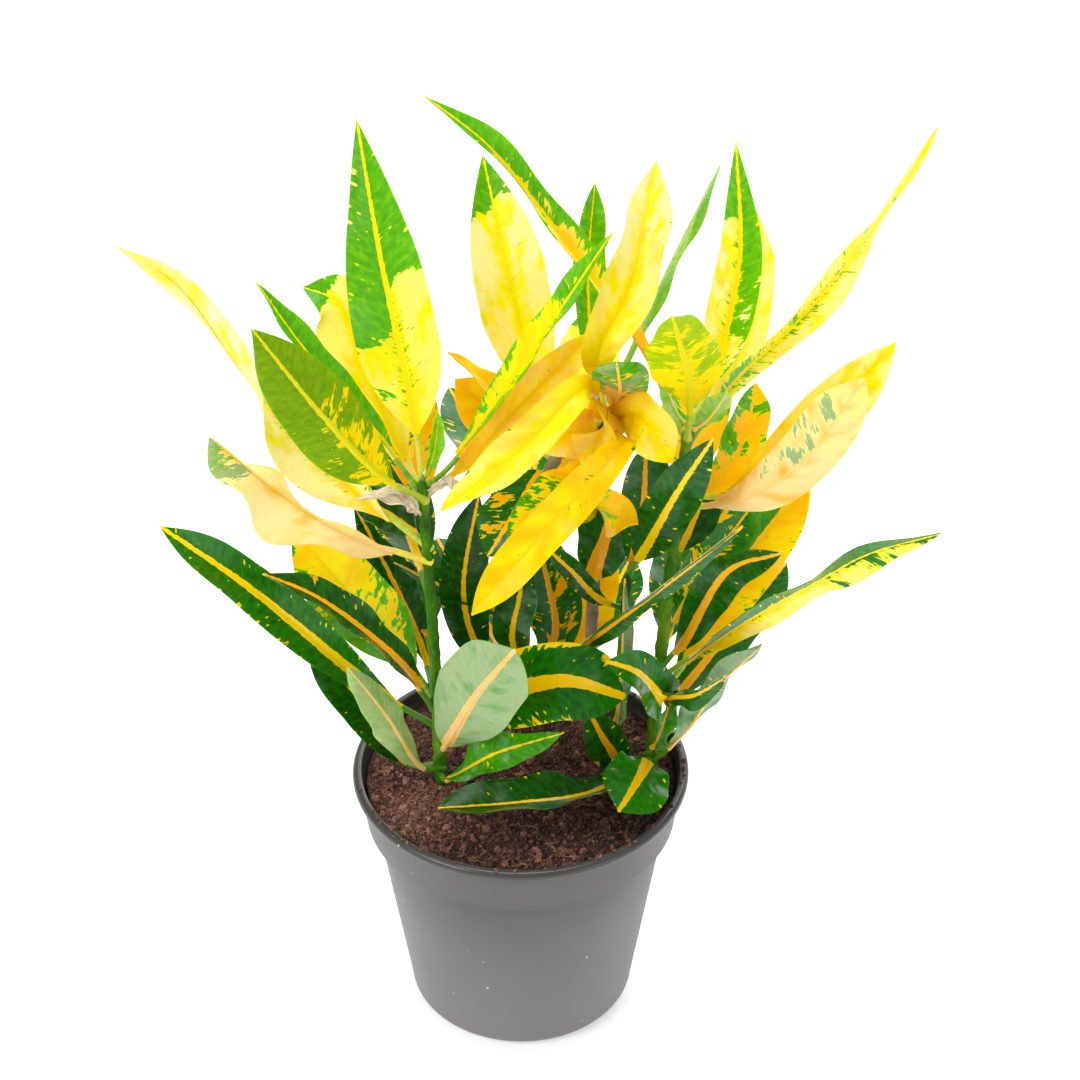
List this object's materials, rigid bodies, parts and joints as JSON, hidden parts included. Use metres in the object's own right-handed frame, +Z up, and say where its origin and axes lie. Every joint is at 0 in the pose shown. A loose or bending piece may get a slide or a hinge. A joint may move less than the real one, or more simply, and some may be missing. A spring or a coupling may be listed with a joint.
{
  "type": "potted croton",
  "caption": "Leafy croton with long yellow and green blotched leaves, rooted as several cuttings in a filled round nursery pot with a rolled lip.",
  "frame": {"origin": "middle of the pot's flat base, on the surface that it stands on", "axes": "+Z up, -Y towards the side shown in the picture, +X to the right in the picture"},
  "size_m": [0.2585, 0.1623, 0.3444],
  "materials": {
    "pot_plastic": "matte mid-grey moulded polypropylene, lightly dusty",
    "potting_soil": "crumbly red-brown peat with fibres and bark crumbs",
    "croton_leaf": "waxy leaf, yellow and green blotches along a yellow midrib, grey-green below"
  },
  "bodies": {
    "root": {"pot": "pot_plastic", "soil": "potting_soil", "leafy_stem_left": "croton_leaf", "leafy_stem_back": "croton_leaf", "leafy_stem_centre": "croton_leaf", "leafy_stem_low": "croton_leaf", "leafy_stem_right": "croton_leaf"}
  },
  "joints": []
}
